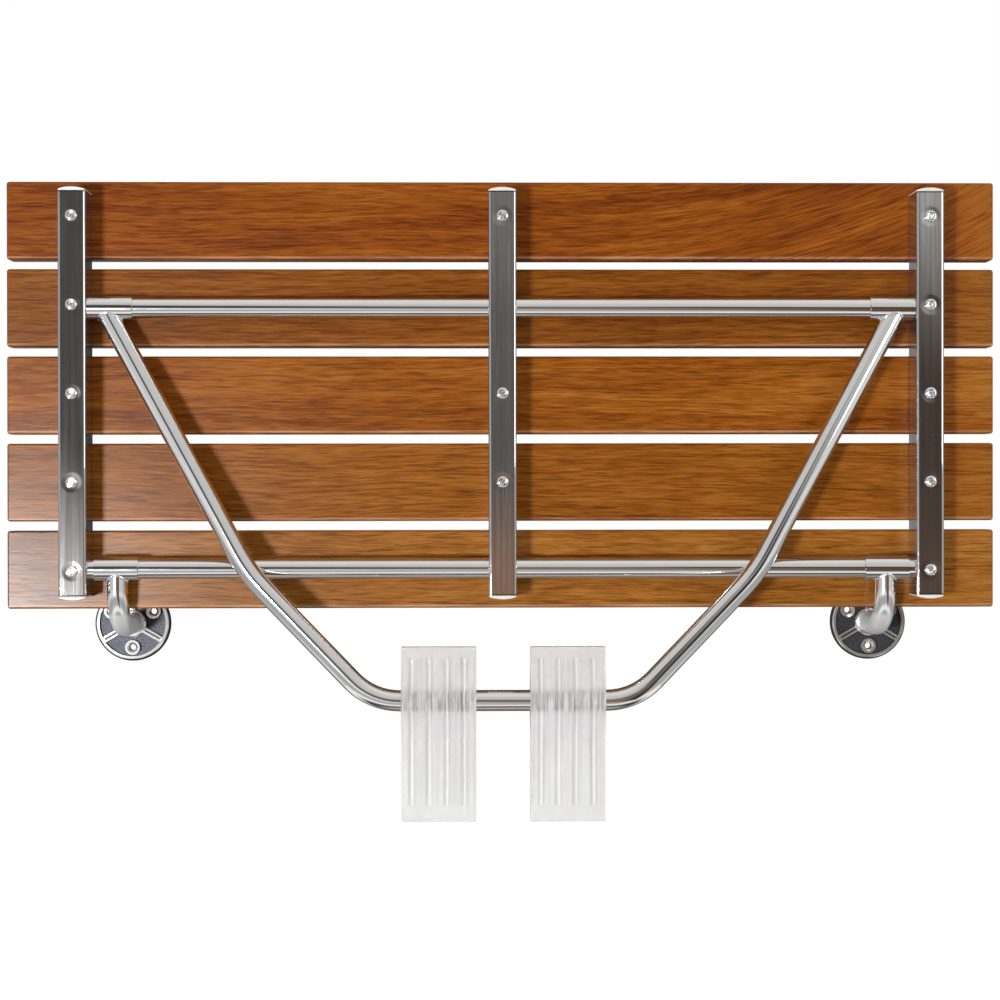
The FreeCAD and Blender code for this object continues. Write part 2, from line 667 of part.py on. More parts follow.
def wall_pad(side):
    """A clear moulded pad, ribbed front and back, that hangs from the strut's foot in its bore."""
    body = new_body("wall_pad_" + side)
    plate_outline = sketch_on(body, "plate_outline", "YZ_Plane")
    top = "sizes.pad_above"
    bottom = "-sizes.pad_below"
    pad_outline(plate_outline, "sizes.pad_half_thickness", "sizes.pad_barrel", top, bottom)
    pad(body, "plate", plate_outline, "sizes.pad_width", SideType="Symmetric")
    first_rib_x = "-(sizes.pad_rib_count - 1) * sizes.pad_rib_pitch / 2"
    rib_outline = sketch_on(body, "rib_outline", "YZ_Plane", first_rib_x)
    pad_outline(
        rib_outline,
        "sizes.pad_half_thickness + sizes.pad_rib_height",
        "sizes.pad_barrel + sizes.pad_rib_height",
        "sizes.pad_above - sizes.pad_band_above",
        "sizes.pad_band_below - sizes.pad_below",
    )
    rib = pad(body, "rib", rib_outline, "sizes.pad_rib_width", SideType="Symmetric")
    ribs = body.newObject("PartDesign::LinearPattern", "ribs")
    ribs.Originals = [rib]
    ribs.Direction = (origin_feature(body, "X_Axis"), [""])
    ribs.setExpression("Length", "(sizes.pad_rib_count - 1) * sizes.pad_rib_pitch")
    ribs.setExpression("Occurrences", "sizes.pad_rib_count")
    body.Tip = ribs
    bore = sketch_on(body, "bore", "YZ_Plane")
    circle(bore, "0", "0", "sizes.strut_diameter + 2 * sizes.running_clearance")
    pocket(body, "strut_bore", bore, "2 * sizes.pad_width", SideType="Symmetric")
    foot_y = "%s - sizes.strut_reach * sin(%s)" % (AXIS_Y, STRUT_LEAN)
    foot_z = "%s - sizes.strut_reach * cos(%s)" % (STRUT_AXIS_Z, STRUT_LEAN)
    middle_x = "%d * (sizes.pad_spacing + sizes.pad_width) / 2" % SIDES[side]
    place(body, middle_x, foot_y, foot_z)
    return body


def screw_outline(sketch):
    """Half of a pan head screw, from the top of its head to its end, along the sketch's Y."""
    head = "sizes.screw_head / 2"
    shank = "sizes.screw_shank / 2"
    length = "(sizes.bar_depth + sizes.screw_bite)"
    corners = [
        ("0", "-sizes.screw_head_height"),
        (head, "-sizes.screw_head_height"),
        (head, "0"),
        (shank, "0"),
        (shank, length),
        ("0", length),
    ]
    polygon(sketch, corners)


def slat_screws(name, x, rows):
    """The screws of one cross bar, which pass through it and bite into the slats."""
    body = new_body("slat_screws_" + name)
    for row in rows:
        profile = sketch_on(body, "profile_%d" % row, "XY_Plane", row_offset(row))
        screw_outline(profile)
        turned = feature(body, "Revolution", "screw_%d" % row, profile, Angle=360.0)
        turned.ReferenceAxis = (profile, ["V_Axis"])
        doc.recompute()
    head_seat = "%s - sizes.bar_depth / 2" % BAR_CENTRE_Y
    place(body, x, head_seat, SEAT_CENTRE_Z)
    return body


BARS = {
    "left": ("-" + BAR_X, ALL_ROWS),
    "centre": ("0", ROWS_CLEAR_OF_TUBES),
    "right": (BAR_X, ALL_ROWS),
}

nodes = []
for number in ALL_ROWS:
    offsets = [x for x, rows in BARS.values() if number in rows]
    nodes.append(slat(number, offsets))
for name, (x, rows) in BARS.items():
    nodes.append(cross_bar(name, x, rows, tube_passes=rows == ROWS_CLEAR_OF_TUBES))
    nodes.append(end_cap(name, x, "upper", 1))
    nodes.append(end_cap(name, x, "lower", -1))
    nodes.append(slat_screws(name, x, rows))
nodes.append(round_tube("strut_pivot_tube", STRUT_AXIS_Z))
nodes.append(round_tube("seat_hinge_tube", HINGE_Z))
for side, sign in SIDES.items():
    hinge_x = "%d * %s" % (sign, HINGE_SLEEVE_X)
    strut_x = "%d * %s" % (sign, STRUT_SLEEVE_X)
    nodes.append(sleeve("hinge_sleeve_" + side, hinge_x, HINGE_Z, "sizes.hinge_sleeve_length"))
    nodes.append(wall_arm(side))
    nodes.append(wall_flange(side))
    nodes.append(sleeve("strut_sleeve_" + side, strut_x, STRUT_AXIS_Z, "sizes.strut_sleeve_length"))
    nodes.append(wall_pad(side))
nodes.append(strut())
doc.recompute()

for item in doc.Objects:
    assert "Invalid" not in item.State and "Error" not in item.State, item.Name + " failed"
for node in nodes:
    assert not node.Shape.isNull() and node.Shape.isValid(), node.Label + " has no sound shape"

os.makedirs("parts", exist_ok=True)
for node in nodes:
    node.Shape.exportStep("parts/%s.step" % node.Label)
print("%d nodes written" % len(nodes))
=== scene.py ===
import math

import bmesh
import bpy
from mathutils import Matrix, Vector


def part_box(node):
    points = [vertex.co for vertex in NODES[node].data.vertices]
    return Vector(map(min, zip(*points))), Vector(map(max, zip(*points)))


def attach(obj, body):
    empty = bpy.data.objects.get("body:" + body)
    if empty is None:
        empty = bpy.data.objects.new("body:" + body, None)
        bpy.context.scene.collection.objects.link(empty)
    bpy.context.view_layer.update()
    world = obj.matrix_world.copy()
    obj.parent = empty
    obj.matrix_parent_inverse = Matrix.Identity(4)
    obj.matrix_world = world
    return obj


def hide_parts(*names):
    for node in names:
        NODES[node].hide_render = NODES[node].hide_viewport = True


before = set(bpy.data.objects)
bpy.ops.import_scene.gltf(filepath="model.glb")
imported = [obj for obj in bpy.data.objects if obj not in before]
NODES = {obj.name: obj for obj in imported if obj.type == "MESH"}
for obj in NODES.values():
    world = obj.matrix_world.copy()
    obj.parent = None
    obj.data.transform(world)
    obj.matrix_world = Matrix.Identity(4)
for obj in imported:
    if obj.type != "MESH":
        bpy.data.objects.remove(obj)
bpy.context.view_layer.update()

MM = 0.001
SIDES = {"left": -1, "right": 1}
BAR_ROWS = {"left": (1, 2, 3, 4, 5), "centre": (1, 3, 4), "right": (1, 2, 3, 4, 5)}
PIPE_RADIUS = 9.5 * MM
EVEN = (1.0, 1.0, 1.0)
# where nearly all of a noise lies
NOISE_SPAN = (0.3, 0.7)
# the numbers of the Mix node's sockets for colours
MIX_FACTOR, MIX_COLOURS, MIX_RESULT = 0, (6, 7), 2


def middle(name):
    """The middle of a CAD node's box."""
    low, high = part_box(name)
    return (Vector(low) + Vector(high)) / 2


ROW_HEIGHTS = {row: middle("slat_%d" % row).z for row in BAR_ROWS["left"]}


# Node trees

def link(tree, value, socket):
    """Puts a plain value on a socket, or joins another node's output to it."""
    if isinstance(value, bpy.types.NodeSocket):
        tree.links.new(value, socket)
    elif value is not None:
        socket.default_value = value


def node(tree, kind, inputs=(), **settings):
    """A shader node with its settings, and its inputs by name or number."""
    made = tree.nodes.new(kind)
    for name, value in settings.items():
        setattr(made, name, value)
    for name, value in dict(inputs).items():
        link(tree, value, made.inputs[name])
    return made


def maths(tree, operation, first, second=None, third=None, clamp=False):
    made = node(tree, "ShaderNodeMath", operation=operation, use_clamp=clamp)
    for socket, value in zip(made.inputs, (first, second, third)):
        link(tree, value, socket)
    return made.outputs[0]


def between(tree, value, low, high, to_low=0.0, to_high=1.0, smooth=True):
    """A value taken from one range to another, held at its ends."""
    made = node(
        tree, "ShaderNodeMapRange",
        {"Value": value, "From Min": low, "From Max": high, "To Min": to_low, "To Max": to_high},
        interpolation_type="SMOOTHSTEP" if smooth else "LINEAR",
    )
    return made.outputs["Result"]


def plateau(tree, value, start, low, high, end):
    """1 from low to high, and down to 0 at start and end."""
    return maths(tree, "MULTIPLY", between(tree, value, start, low), between(tree, value, end, high))


def away(tree, value, at):
    """How far a value is from a number."""
    return maths(tree, "ABSOLUTE", maths(tree, "SUBTRACT", value, at))


def added(tree, value, share, total):
    """A total with a share of a value added to it."""
    return maths(tree, "MULTIPLY_ADD", value, share, total)


def place(tree):
    """The point on the piece, in metres."""
    return node(tree, "ShaderNodeTexCoord").outputs["Object"]


def parts(tree, vector):
    made = node(tree, "ShaderNodeSeparateXYZ", {"Vector": vector})
    return made.outputs["X"], made.outputs["Y"], made.outputs["Z"]


def joined(tree, x=0.0, y=0.0, z=0.0):
    return node(tree, "ShaderNodeCombineXYZ", {"X": x, "Y": y, "Z": z}).outputs[0]


def stretched(tree, vector, scale, shift=(0.0, 0.0, 0.0), turn=(0.0, 0.0, 0.0)):
    made = node(
        tree, "ShaderNodeMapping",
        {"Vector": vector, "Location": shift, "Rotation": turn, "Scale": scale},
        vector_type="POINT",
    )
    return made.outputs["Vector"]


def noise(tree, vector, scale, detail=3.0, rough=0.5):
    """Smooth noise from 0 to 1. scale is waves per metre, as one number or one for each axis."""
    if isinstance(scale, tuple):
        vector, scale = stretched(tree, vector, scale), 1.0
    made = node(
        tree, "ShaderNodeTexNoise",
        {"Vector": vector, "Scale": scale, "Detail": detail, "Roughness": rough},
    )
    return made.outputs["Fac"]


def ramp(tree, value, stops):
    """Colours along a value: stops are pairs of a place from 0 to 1 and a colour."""
    made = node(tree, "ShaderNodeValToRGB", {"Fac": value})
    points = made.color_ramp.elements
    while len(points) < len(stops):
        points.new(0.5)
    for point, (at, colour) in zip(points, stops):
        point.position = at
        point.color = (*colour, 1.0)
    return made.outputs["Color"]


def mixed(tree, factor, first, second):
    """A mix of two colours, each a plain one or another node's output."""
    made = node(tree, "ShaderNodeMix", data_type="RGBA")
    link(tree, factor, made.inputs[MIX_FACTOR])
    for number, colour in zip(MIX_COLOURS, (first, second)):
        plain = not isinstance(colour, bpy.types.NodeSocket)
        link(tree, (*colour, 1.0) if plain else colour, made.inputs[number])
    return made.outputs[MIX_RESULT]


def bump(tree, height, depth, under=None):
    made = node(tree, "ShaderNodeBump", {"Height": height, "Distance": depth, "Strength": 1.0})
    link(tree, under, made.inputs["Normal"])
    return made.outputs["Normal"]


def material(name):
    """A new material, its node tree and its Principled shader."""
    made = bpy.data.materials.new(name)
    made.use_nodes = True
    tree = made.node_tree
    tree.nodes.clear()
    out = tree.nodes.new("ShaderNodeOutputMaterial")
    shader = tree.nodes.new("ShaderNodeBsdfPrincipled")
    tree.links.new(shader.outputs["BSDF"], out.inputs["Surface"])
    return made, tree, shader


def finish_with(made, *names):
    """Gives CAD nodes a material, in every slot."""
    for name in names:
        for holder in NODES[name].material_slots:
            holder.material = made


def srgb(red, green, blue):
    """A colour given in the eight-bit numbers of a picture, as linear light."""
    return tuple(((c / 255 + 0.055) / 1.055) ** 2.4 for c in (red, green, blue))


# Teak

# waves per metre along the slat, out of it and across it
DRIFT = (3.0, 9.0, 9.0)
RINGS = (4.0, 60.0, 150.0)
GRAIN = (22.0, 420.0, 480.0)
FIBRES = (48.0, 900.0, 1050.0)
PORES = (42.0, 700.0, 860.0)
CLOUDS = (7.0, 12.0, 22.0)
DRIFT_HEIGHT = 0.022
SLAT_SHIFT = (1.37, 0.71, 0.23)
RIGHT_END = (0.395, 0.445)
LEFT_END = (-0.34, -0.43)
# a painted highlight along each slat's rounded lower edge: its colour, the heights where it rises and
# fades, and how patchy it is
EDGE_HIGHLIGHT = srgb(205, 160, 130)
EDGE_HIGHLIGHT_HEIGHTS = (0.8 * MM, 1.6 * MM, 2.6 * MM, 3.6 * MM)
EDGE_HIGHLIGHT_SPAN, EDGE_HIGHLIGHT_AMOUNT = (0.7, 1.3), (0.15, 0.75)
# how much of the tone comes from the rings, the grain, the fibres and the clouds
TONE_SHARES = (0.40, 0.34, 0.50, 0.28)
TONE_STOPS = (0.32, 0.50, 0.68)
STRIPE_WOBBLES = (0.02, 0.016)
STRIPE_CORE = 0.1
STRIPE_TONE = -0.10
PORE_CLUSTERING = 0.16
STREAK_EDGE, STREAK_STRENGTH, STREAK_SHADE = (0.58, 0.70), 0.5, 0.45
FLECK_EDGE, FLECK_STRENGTH = (0.40, 0.30), 0.35
TEAK_ROUGHNESS = (0.26, 0.30)
TEAK_SHINE = 0.15
FIBRE_HEIGHT = 0.5
PORE_DEPTH = 0.016 * MM


def teak(name, row, dark, middle_tone, light, right_end=0.0, left_end=0.0, band=None, sweep=None):
    """Oiled teak with its grain along X and a painted highlight along its lower edge.

    right_end and left_end make the wood's ends paler, or darker below 0. band is a darker
    stripe: its height, slope and half width. sweep bends the grain upward past a place along
    the slat: the place and how fast it bends.
    """
    made, tree, shader = material(name)
    x, y, z = parts(tree, place(tree))
    z_grain = z
    if sweep:
        start, bend = sweep
        past = maths(tree, "MAXIMUM", maths(tree, "SUBTRACT", x, start), 0.0)
        z_grain = added(tree, maths(tree, "MULTIPLY", past, past), -bend, z)
    shift = tuple(row * step for step in SLAT_SHIFT)
    spot = stretched(tree, joined(tree, x, y, z_grain), EVEN, shift=shift)
    slow = noise(tree, spot, DRIFT, detail=2.0)
    drift = joined(tree, z=maths(tree, "MULTIPLY", slow, DRIFT_HEIGHT))
    bent = node(tree, "ShaderNodeVectorMath", {0: spot, 1: drift}, operation="ADD").outputs[0]
    rings = noise(tree, bent, RINGS)
    grain = noise(tree, bent, GRAIN, rough=0.55)
    fibres = noise(tree, bent, FIBRES, detail=1.0, rough=0.6)
    pores = noise(tree, bent, PORES, detail=1.0)
    cloud = noise(tree, spot, CLOUDS)
    tone = 0.5
    for pattern, share in zip((rings, grain, fibres, cloud), TONE_SHARES):
        tone = added(tree, maths(tree, "SUBTRACT", pattern, 0.5), share, tone)
    if band:
        height, slope, half = band
        off = maths(tree, "SUBTRACT", z, added(tree, x, slope, height))
        for pattern, wobble in zip((slow, grain), STRIPE_WOBBLES):
            off = maths(tree, "ADD", off, added(tree, pattern, wobble, -wobble / 2))
        stripe = between(tree, maths(tree, "ABSOLUTE", off), half, half * STRIPE_CORE)
        tone = added(tree, stripe, STRIPE_TONE, tone)
    tone = added(tree, between(tree, x, *RIGHT_END), right_end, tone)
    tone = added(tree, between(tree, x, *LEFT_END), left_end, tone)
    colour = ramp(tree, tone, tuple(zip(TONE_STOPS, (dark, middle_tone, light))))
    clusters = added(tree, cloud, PORE_CLUSTERING, -PORE_CLUSTERING / 2)
    streaks = between(tree, maths(tree, "ADD", pores, clusters), *STREAK_EDGE)
    deep = tuple(STREAK_SHADE * c for c in dark)
    colour = mixed(tree, maths(tree, "MULTIPLY", streaks, STREAK_STRENGTH), colour, deep)
    flecks = between(tree, pores, *FLECK_EDGE)
    colour = mixed(tree, maths(tree, "MULTIPLY", flecks, FLECK_STRENGTH), colour, light)
    # painted highlight just above the lower edge, broken up by the grain and the clouds
    above = maths(tree, "SUBTRACT", z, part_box("slat_%d" % row)[0][2])
    patchy = between(tree, maths(tree, "ADD", grain, cloud), *EDGE_HIGHLIGHT_SPAN, *EDGE_HIGHLIGHT_AMOUNT)
    edge_highlight = maths(tree, "MULTIPLY", plateau(tree, above, *EDGE_HIGHLIGHT_HEIGHTS), patchy)
    link(tree, mixed(tree, edge_highlight, colour, EDGE_HIGHLIGHT), shader.inputs["Base Color"])
    link(tree, between(tree, fibres, *NOISE_SPAN, *TEAK_ROUGHNESS), shader.inputs["Roughness"])
    shader.inputs["Specular IOR Level"].default_value = TEAK_SHINE
    height = maths(tree, "SUBTRACT", maths(tree, "MULTIPLY", fibres, FIBRE_HEIGHT), streaks)
    link(tree, bump(tree, height, PORE_DEPTH), shader.inputs["Normal"])
    return made


# Metal

SCRATCHES = 1100.0
BLOTCHES = 45.0
STEEL = (0.84, 0.84, 0.83)
DULL_STEEL = tuple(0.93 * c for c in STEEL)
MARKS_SPAN = (0.2, 0.9)
GROUND_FADE = 4.0 * MM
GROUND_ROUGHNESS = 0.36
GROUND_DULLING = -0.6
BAR_SCRATCHES = (1.0, 1.0, 40.0)
BAR_STREAKS = (420.0, 420.0, 5.0)
BAR_CLOUDS = (26.0, 26.0, 12.0)
BAR_SWELLS = (60.0, 60.0, 10.0)
BROAD_SHARE, FINE_SHARE = 0.6, 0.4
BAR_PALE, BAR_GREY, BAR_STREAK = (0.74, 0.73, 0.72), (0.56, 0.55, 0.54), (0.52, 0.51, 0.50)
BAR_STREAK_EDGE = (0.66, 0.40)
BAR_METALLIC = 0.95
BAR_ROUGHNESS = (0.035, 0.055)
# painted shade in the gap where an end cap meets the bar: its colour, and where it fades in from the
# bar's end
BAR_JOINT_SHADE = (0.05, 0.05, 0.05)
JOINT_SHADE_EDGE = (1.4 * MM, 0.5 * MM)
DIMPLE_EDGE = (4.5 * MM, 10.0 * MM)
DIMPLE_DEPTH = 0.09 * MM
SWELL_DEPTH, STREAK_DEPTH, SCRATCH_DEPTH = 0.035 * MM, 0.005 * MM, 0.002 * MM
RIB_ANGLES = (90.0, 210.0, 330.0)
SLOT_EDGE = (1.2 * MM, 0.8 * MM)
SLOT_ENDS = (12.0 * MM, 14.0 * MM, 30.0 * MM, 32.0 * MM)
RECESS_EDGE = (3.0 * MM, 4.0 * MM)
CAST_PALE, SAND_DARK, SAND_PALE = (0.86, 0.86, 0.85), (0.012, 0.013, 0.016), (0.085, 0.088, 0.10)
CAST_METALLIC, SAND_METALLIC = 0.78, 1.0
CAST_ROUGHNESS, SAND_ROUGHNESS = 0.06, 0.54
SAND_GRAINS, CAST_MARKS = 900.0, 260.0
SAND_DEPTH, MARK_DEPTH = 0.10 * MM, 0.015 * MM
POLISHED_GRIT = 0.02


def brushed(tree, spot, along):
    """Fine scratches from 0 to 1, as many times longer on each axis as along says."""
    return noise(tree, spot, tuple(SCRATCHES / times for times in along), detail=2.0)


def polished(name, rough=0.05, along=EVEN, scratch=0.004 * MM, satin=None):
    """Polished stainless steel with fine marks. satin is a height below which it is only ground."""
    made, tree, shader = material(name)
    spot = place(tree)
    marks = brushed(tree, spot, along)
    blotches = noise(tree, spot, BLOTCHES)
    shader.inputs["Metallic"].default_value = 1.0
    link(tree, mixed(tree, blotches, DULL_STEEL, STEEL), shader.inputs["Base Color"])
    spread = maths(tree, "MULTIPLY", marks, added(tree, blotches, 1.0, 0.5))
    spread = between(tree, spread, *MARKS_SPAN, rough, rough * 2.0)
    if satin:
        height = parts(tree, spot)[2]
        ground = between(tree, height, satin + GROUND_FADE, satin - GROUND_FADE)
        spread = added(tree, ground, GROUND_ROUGHNESS, spread)
        link(tree, added(tree, ground, GROUND_DULLING, 1.0), shader.inputs["Metallic"])
    link(tree, spread, shader.inputs["Roughness"])
    link(tree, bump(tree, marks, scratch), shader.inputs["Normal"])
    return made


def dimpled_bar(name, bar):
    """A cross bar's steel: scratches along Z, painted shade near its ends where the caps meet it, and
    the flat pressed in a little round each screw.
    """
    made, tree, shader = material(name)
    low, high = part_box("cross_bar_" + bar)
    centre = middle("cross_bar_" + bar)
    half = (high[2] - low[2]) / 2
    spot = place(tree)
    x, _, z = parts(tree, spot)
    fine = brushed(tree, spot, BAR_SCRATCHES)
    broad = noise(tree, spot, BAR_STREAKS, detail=2.0)
    cloud = noise(tree, spot, BAR_CLOUDS)
    slow = noise(tree, spot, BAR_SWELLS, detail=1.0)
    streak = added(tree, broad, BROAD_SHARE, maths(tree, "MULTIPLY", fine, FINE_SHARE))
    shader.inputs["Metallic"].default_value = BAR_METALLIC
    steel = mixed(tree, between(tree, cloud, *NOISE_SPAN), BAR_GREY, BAR_PALE)
    steel = mixed(tree, between(tree, streak, *BAR_STREAK_EDGE), steel, BAR_STREAK)
    # painted shade on the steel close to each end, where the cap's joint is
    joint = between(tree, away(tree, z, centre.z), *(half - inset for inset in JOINT_SHADE_EDGE))
    link(tree, mixed(tree, joint, steel, BAR_JOINT_SHADE), shader.inputs["Base Color"])
    link(tree, between(tree, streak, *NOISE_SPAN, *BAR_ROUGHNESS), shader.inputs["Roughness"])
    across = maths(tree, "SUBTRACT", x, centre.x)
    dimple = 1.0
    for row in BAR_ROWS[bar]:
        offset = joined(tree, across, maths(tree, "SUBTRACT", z, ROW_HEIGHTS[row]))
        reach = node(tree, "ShaderNodeVectorMath", {0: offset}, operation="LENGTH").outputs["Value"]
        dimple = maths(tree, "MINIMUM", dimple, between(tree, reach, *DIMPLE_EDGE))
    normal = bump(tree, dimple, DIMPLE_DEPTH)
    for height, depth in ((slow, SWELL_DEPTH), (broad, STREAK_DEPTH), (fine, SCRATCH_DEPTH)):
        normal = bump(tree, height, depth, normal)
    link(tree, normal, shader.inputs["Normal"])
    return made


def cast_flange(name, flange):
    """A casting with a polished rim, rings and ribs, and dark sandy recesses and rib slots."""
    made, tree, shader = material(name)
    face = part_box(flange)[0][1]
    centre = middle(flange)
    spot = place(tree)
    x, y, z = parts(tree, spot)
    recess = between(tree, y, *(face + depth for depth in RECESS_EDGE))
    from_centre = [maths(tree, "SUBTRACT", x, centre.x), maths(tree, "SUBTRACT", z, centre.z)]
    offset = joined(tree, *from_centre)
    for degrees in RIB_ANGLES:
        turned = stretched(tree, offset, EVEN, turn=(0.0, 0.0, math.radians(-degrees)))
        out, aside, _ = parts(tree, turned)
        narrow = between(tree, maths(tree, "ABSOLUTE", aside), *SLOT_EDGE)
        slot = maths(tree, "MULTIPLY", narrow, plateau(tree, out, *SLOT_ENDS))
        recess = maths(tree, "MAXIMUM", recess, slot)
    sand = noise(tree, spot, SAND_GRAINS, detail=2.0, rough=0.6)
    marks = noise(tree, spot, CAST_MARKS, detail=2.0)
    metallic = between(tree, recess, 0.0, 1.0, CAST_METALLIC, SAND_METALLIC)
    link(tree, metallic, shader.inputs["Metallic"])
    dark = mixed(tree, between(tree, sand, *NOISE_SPAN), SAND_DARK, SAND_PALE)
    link(tree, mixed(tree, recess, CAST_PALE, dark), shader.inputs["Base Color"])
    roughness = between(tree, recess, 0.0, 1.0, CAST_ROUGHNESS, SAND_ROUGHNESS)
    link(tree, roughness, shader.inputs["Roughness"])
    gritty = added(tree, recess, 1.0 - POLISHED_GRIT, POLISHED_GRIT)
    normal = bump(tree, maths(tree, "MULTIPLY", sand, gritty), SAND_DEPTH)
    link(tree, bump(tree, marks, MARK_DEPTH, normal), shader.inputs["Normal"])
    return made


# Plastic

RIB_PITCH = 15.7 * MM
RIB_SHARPNESS = 18.0
GROOVE_TURN = 0.9
GROOVE_SHARPNESS = 9.0
RIB_FOOT = (13.0 * MM, 17.0 * MM)
RIB_HEAD = (12.0 * MM, 8.0 * MM)
PAD_TAPER = 34.0 * MM
TAPER_FADE = 0.5 * MM
# how far from the bar's middle its painted image through the pad reaches
BAR_REACH = (11.0 * MM, 6.0 * MM)
HAZE = (60.0, 60.0, 25.0)
FAINT_FLUTES = (330.0, 1.0, 6.0)
SEEN_BAR_LINES = (520.0, 1.0, 30.0)
# the pad's grey, painted lighter at its foot and darker up to the step of its taper, and what is
# added to it: a painted light line along the step, and darker from the step up to the bore
FOOT_GREY, STEP_GREY = 0.90, 0.84
STEP_PAINTED_LIGHT, BORE_FALL = 0.03, -0.05
# shares of the haze, of the painted highlights on the ridges, of the painted shade in the grooves,
# and of the faint flutes
HAZE_SHARE, RIDGE_HIGHLIGHT_SHARE, GROOVE_SHADE_SHARE, FAINT_SHARE = 0.10, 0.16, -0.13, 0.30
# the painted image of the bar seen through the pad: where its lines start and end, and how much
# darker and lighter they are
LINE_SPAN, SEEN_BAR_SHADES = (0.35, 0.65), (0.22, -0.14)
ROSY = 0.02
PAD_ROUGHNESS, PAD_CLEARNESS = (0.10, 0.16), (0.46, 0.56)
PAD_SHINE = 0.4
PAD_INDEX = 1.5
HAZE_HEIGHT = 0.6
RIB_DEPTH = 0.12 * MM
CAP_MOTTLE = 300.0
CAP_DULLING = 0.92
CAP_ROUGHNESS = (0.22, 0.3)
CAP_DEPTH = 0.02 * MM


def wave(tree, turn, sharpness):
    """Even ridges from 0 to 1, the narrower the sharper."""
    return maths(tree, "POWER", added(tree, maths(tree, "COSINE", turn), 0.5, 0.5), sharpness)


def vinyl_grey(tree, pad, spot, haze):
    """The pad's grey, with light and shade painted into it by height, over the ribs and where the bar
    is seen through it, and the height of its ribs, which stop short of both ends.
    """
    low, high = (corner[2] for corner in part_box(pad))
    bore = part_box("strut_tube")[0][2] + PIPE_RADIUS
    step = bore - PAD_TAPER
    x, _, z = parts(tree, spot)
    across = maths(tree, "SUBTRACT", x, middle(pad).x + RIB_PITCH / 2)
    turn = maths(tree, "MULTIPLY", across, 2.0 * math.pi / RIB_PITCH)
    ridge = wave(tree, turn, RIB_SHARPNESS)
    groove = wave(tree, maths(tree, "ADD", turn, GROOVE_TURN), GROOVE_SHARPNESS)
    faint = noise(tree, spot, FAINT_FLUTES, detail=2.0)
    lines = noise(tree, spot, SEEN_BAR_LINES, detail=2.0)
    ends = [low + height for height in RIB_FOOT] + [high - depth for depth in RIB_HEAD]
    fluted = plateau(tree, z, *ends)
    at_bar = between(tree, away(tree, z, bore), *BAR_REACH)
    # painted light and shade by height: lighter at the foot, a light line at the taper's step, darker
    # from the step up to the bore
    grey = between(tree, z, low, step, FOOT_GREY, STEP_GREY, smooth=False)
    step_light = between(tree, z, step - TAPER_FADE, step + TAPER_FADE, 0.0, STEP_PAINTED_LIGHT)
    grey = maths(tree, "ADD", grey, step_light)
    grey = maths(tree, "ADD", grey, between(tree, z, step, bore, 0.0, BORE_FALL, smooth=False))
    grey = added(tree, maths(tree, "SUBTRACT", haze, 0.5), HAZE_SHARE, grey)
    faint = maths(tree, "SUBTRACT", faint, 0.5)
    # painted highlights along the ribs' ridges, painted shade in the grooves beside them, and faint
    # flutes
    for pattern, share in ((ridge, RIDGE_HIGHLIGHT_SHARE), (groove, GROOVE_SHADE_SHARE), (faint, FAINT_SHARE)):
        grey = added(tree, maths(tree, "MULTIPLY", pattern, fluted), share, grey)
    # painted image of the strut's bar through the clear pad: broken dark and light lines near the
    # bore
    seen_bar = maths(tree, "MULTIPLY", between(tree, lines, *LINE_SPAN, *SEEN_BAR_SHADES), at_bar)
    grey = maths(tree, "SUBTRACT", grey, seen_bar, clamp=True)
    rosy = maths(tree, "SUBTRACT", grey, between(tree, z, low, high, 0.0, ROSY), clamp=True)
    tint = node(tree, "ShaderNodeCombineColor", {"Red": grey, "Green": rosy, "Blue": rosy})
    height = maths(tree, "MULTIPLY", maths(tree, "SUBTRACT", ridge, groove), fluted)
    return tint.outputs[0], height


def vinyl(name, pad):
    """Clear soft plastic, faintly milky, with painted highlights along its ribs and a painted image
    of the bar seen through it.
    """
    made, tree, shader = material(name)
    spot = place(tree)
    haze = noise(tree, spot, HAZE)
    grey, height = vinyl_grey(tree, pad, spot, haze)
    link(tree, grey, shader.inputs["Base Color"])
    link(tree, between(tree, haze, *NOISE_SPAN, *PAD_ROUGHNESS), shader.inputs["Roughness"])
    clearness = between(tree, haze, *NOISE_SPAN, *PAD_CLEARNESS)
    link(tree, clearness, shader.inputs["Transmission Weight"])
    shader.inputs["Specular IOR Level"].default_value = PAD_SHINE
    shader.inputs["IOR"].default_value = PAD_INDEX
    height = added(tree, haze, HAZE_HEIGHT, height)
    link(tree, bump(tree, height, RIB_DEPTH), shader.inputs["Normal"])
    return made


def plastic(name, colour):
    made, tree, shader = material(name)
    mottle = noise(tree, place(tree), CAP_MOTTLE, detail=2.0)
    dull = tuple(CAP_DULLING * c for c in colour)
    link(tree, mixed(tree, mottle, dull, colour), shader.inputs["Base Color"])
    link(tree, between(tree, mottle, *NOISE_SPAN, *CAP_ROUGHNESS), shader.inputs["Roughness"])
    link(tree, bump(tree, mottle, CAP_DEPTH), shader.inputs["Normal"])
    return made


# Finishes of the CAD nodes

